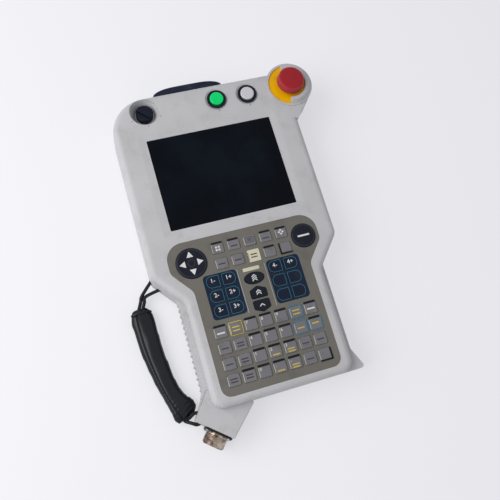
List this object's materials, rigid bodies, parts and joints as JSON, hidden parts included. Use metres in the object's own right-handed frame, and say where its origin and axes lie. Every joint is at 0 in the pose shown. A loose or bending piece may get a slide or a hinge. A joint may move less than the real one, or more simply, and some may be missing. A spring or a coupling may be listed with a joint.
{
  "type": "robot teach pendant",
  "caption": "Handheld robot teach pendant with display, keypad, stop button, push buttons, mode switch, enabling lever, card slot, cable connector and padded hand strap.",
  "frame": {"origin": "centre line of the back, on the flat face that the pendant rests on", "axes": "+Z out of the front face, +Y along the length towards the stop button, +X to the right as the user sees the front"},
  "size_m": [0.2585, 0.3884, 0.0608],
  "materials": {
    "housing": "fine moulded texture, light warm grey",
    "dark_plastic": "satin black moulding",
    "inner_plastic": "plain moulding, inside",
    "screen_glass": "glossy touch panel over a dark display",
    "display": "sheet-metal framed display module, inside",
    "circuit_board": "glass-fibre board, inside",
    "key_film": "embossed matt keypad overlay, olive grey",
    "key_navy": "dark navy key with printed outline",
    "key_black": "near-black key with white print",
    "stop_red": "red thermoplastic, worn satin",
    "stop_yellow": "yellow disc",
    "lens_green": "translucent green lens",
    "lens_white": "translucent white lens",
    "screw_steel": "zinc-plated steel",
    "nickel": "nickel-plated shell, tarnished",
    "flange_metal": "blackened metal flange",
    "strap_vinyl": "glossy black padded vinyl",
    "strap_cord": "black woven cord",
    "seal_rubber": "rubber seal"
  },
  "bodies": {
    "root": {"front_cover": "housing", "rear_cover": "housing", "cover_seal": "seal_rubber", "cover_screws": "screw_steel", "side_cover": "housing", "screen_window": "screen_glass", "window_gasket": "seal_rubber", "lcd_module": "display", "main_board": "circuit_board", "key_sheet": "key_film", "key_board": "inner_plastic", "stop_label": "stop_yellow", "stop_switch": "inner_plastic", "start_bezel": "dark_plastic", "hold_bezel": "dark_plastic", "mode_switch": "inner_plastic", "card_cover_pin": "screw_steel", "card_socket": "inner_plastic", "enable_pin": "screw_steel", "enable_switch": "inner_plastic", "connector_box": "housing", "connector_flange": "flange_metal", "cable_receptacle": "nickel", "receptacle_insert": "dark_plastic", "flange_screws": "screw_steel", "strap_loop_top": "strap_cord", "strap_loop_bottom": "strap_cord"},
    "stop_plunger": {"stop_stem": "dark_plastic"},
    "stop_mushroom": {"stop_head": "stop_red"},
    "start_push": {"start_button": "lens_green"},
    "hold_push": {"hold_button": "lens_white"},
    "mode_selector": {"mode_knob": "dark_plastic"},
    "card_door": {"card_cover": "dark_plastic"},
    "card_eject": {"card_eject_button": "dark_plastic"},
    "enable_paddle": {"enable_lever": "dark_plastic"},
    "hand_strap": {"hand_sleeve": "strap_vinyl"},
    "cursor_pad": {"cursor_key": "key_black"},
    "select_pad": {"select_key": "key_black"},
    "high_speed_pad": {"high_speed_key": "key_black"},
    "fast_pad": {"fast_key": "key_black"},
    "slow_pad": {"slow_key": "key_black"},
    "axis_pad_1_1": {"axis_key_1_1": "key_navy"},
    "axis_pad_1_2": {"axis_key_1_2": "key_navy"},
    "axis_pad_1_3": {"axis_key_1_3": "key_navy"},
    "axis_pad_2_1": {"axis_key_2_1": "key_navy"},
    "axis_pad_2_2": {"axis_key_2_2": "key_navy"},
    "axis_pad_2_3": {"axis_key_2_3": "key_navy"},
    "axis_pad_3_1": {"axis_key_3_1": "key_navy"},
    "axis_pad_3_2": {"axis_key_3_2": "key_navy"},
    "axis_pad_3_3": {"axis_key_3_3": "key_navy"},
    "axis_pad_4_1": {"axis_key_4_1": "key_navy"},
    "axis_pad_4_2": {"axis_key_4_2": "key_navy"},
    "axis_pad_4_3": {"axis_key_4_3": "key_navy"}
  },
  "joints": [
    {"name": "stop_press", "type": "slide", "parent": "root", "child": "stop_plunger", "axis": [0, 0, -1], "range_m": [0, 0.004], "stiffness_N_per_m": 700, "springref_m": -0.002},
    {"name": "stop_twist", "type": "hinge", "parent": "stop_plunger", "child": "stop_mushroom", "pos_m": [0.103, 0.1497, 0.0556], "axis": [0, 0, -1], "range_deg": [0, 45], "stiffness_Nm_per_rad": 0.02, "springref_deg": -5.73},
    {"name": "start_press", "type": "slide", "parent": "root", "child": "start_push", "axis": [0, 0, -1], "range_m": [0, 0.0025], "stiffness_N_per_m": 350, "springref_m": -0.001},
    {"name": "hold_press", "type": "slide", "parent": "root", "child": "hold_push", "axis": [0, 0, -1], "range_m": [0, 0.0025], "stiffness_N_per_m": 350, "springref_m": -0.001},
    {"name": "mode_turn", "type": "hinge", "parent": "root", "child": "mode_selector", "pos_m": [-0.0625, 0.1515, 0.036], "axis": [0, 0, 1], "range_deg": [-120, 0]},
    {"name": "card_door_swing", "type": "hinge", "parent": "root", "child": "card_door", "pos_m": [-0.0093, 0.1708, 0.014], "axis": [-1, 0, 0], "range_deg": [0, 85]},
    {"name": "card_eject_press", "type": "slide", "parent": "root", "child": "card_eject", "axis": [0, -1, 0], "range_m": [0, 0.004], "stiffness_N_per_m": 150, "springref_m": -0.001},
    {"name": "enable_squeeze", "type": "hinge", "parent": "root", "child": "enable_paddle", "pos_m": [-0.044, -0.097, 0.0125], "axis": [0, 1, 0], "range_deg": [0, 8], "stiffness_Nm_per_rad": 1.2, "springref_deg": -4.58},
    {"name": "strap_swing", "type": "hinge", "parent": "root", "child": "hand_strap", "pos_m": [-0.0952, -0.0305, 0.016], "axis": [-0.0322, 0.9995, 0], "range_deg": [0, 80]},
    {"name": "cursor_press", "type": "slide", "parent": "root", "child": "cursor_pad", "axis": [0, 0, -1], "range_m": [0, 0.0006], "stiffness_N_per_m": 600, "springref_m": -0.0005},
    {"name": "select_press", "type": "slide", "parent": "root", "child": "select_pad", "axis": [0, 0, -1], "range_m": [0, 0.0006], "stiffness_N_per_m": 600, "springref_m": -0.0005},
    {"name": "high_speed_press", "type": "slide", "parent": "root", "child": "high_speed_pad", "axis": [0, 0, -1], "range_m": [0, 0.0006], "stiffness_N_per_m": 600, "springref_m": -0.0005},
    {"name": "fast_press", "type": "slide", "parent": "root", "child": "fast_pad", "axis": [0, 0, -1], "range_m": [0, 0.0006], "stiffness_N_per_m": 600, "springref_m": -0.0005},
    {"name": "slow_press", "type": "slide", "parent": "root", "child": "slow_pad", "axis": [0, 0, -1], "range_m": [0, 0.0006], "stiffness_N_per_m": 600, "springref_m": -0.0005},
    {"name": "axis_press_1_1", "type": "slide", "parent": "root", "child": "axis_pad_1_1", "axis": [0, 0, -1], "range_m": [0, 0.0006], "stiffness_N_per_m": 600, "springref_m": -0.0005},
    {"name": "axis_press_1_2", "type": "slide", "parent": "root", "child": "axis_pad_1_2", "axis": [0, 0, -1], "range_m": [0, 0.0006], "stiffness_N_per_m": 600, "springref_m": -0.0005},
    {"name": "axis_press_1_3", "type": "slide", "parent": "root", "child": "axis_pad_1_3", "axis": [0, 0, -1], "range_m": [0, 0.0006], "stiffness_N_per_m": 600, "springref_m": -0.0005},
    {"name": "axis_press_2_1", "type": "slide", "parent": "root", "child": "axis_pad_2_1", "axis": [0, 0, -1], "range_m": [0, 0.0006], "stiffness_N_per_m": 600, "springref_m": -0.0005},
    {"name": "axis_press_2_2", "type": "slide", "parent": "root", "child": "axis_pad_2_2", "axis": [0, 0, -1], "range_m": [0, 0.0006], "stiffness_N_per_m": 600, "springref_m": -0.0005},
    {"name": "axis_press_2_3", "type": "slide", "parent": "root", "child": "axis_pad_2_3", "axis": [0, 0, -1], "range_m": [0, 0.0006], "stiffness_N_per_m": 600, "springref_m": -0.0005},
    {"name": "axis_press_3_1", "type": "slide", "parent": "root", "child": "axis_pad_3_1", "axis": [0, 0, -1], "range_m": [0, 0.0006], "stiffness_N_per_m": 600, "springref_m": -0.0005},
    {"name": "axis_press_3_2", "type": "slide", "parent": "root", "child": "axis_pad_3_2", "axis": [0, 0, -1], "range_m": [0, 0.0006], "stiffness_N_per_m": 600, "springref_m": -0.0005},
    {"name": "axis_press_3_3", "type": "slide", "parent": "root", "child": "axis_pad_3_3", "axis": [0, 0, -1], "range_m": [0, 0.0006], "stiffness_N_per_m": 600, "springref_m": -0.0005},
    {"name": "axis_press_4_1", "type": "slide", "parent": "root", "child": "axis_pad_4_1", "axis": [0, 0, -1], "range_m": [0, 0.0006], "stiffness_N_per_m": 600, "springref_m": -0.0005},
    {"name": "axis_press_4_2", "type": "slide", "parent": "root", "child": "axis_pad_4_2", "axis": [0, 0, -1], "range_m": [0, 0.0006], "stiffness_N_per_m": 600, "springref_m": -0.0005},
    {"name": "axis_press_4_3", "type": "slide", "parent": "root", "child": "axis_pad_4_3", "axis": [0, 0, -1], "range_m": [0, 0.0006], "stiffness_N_per_m": 600, "springref_m": -0.0005}
  ]
}
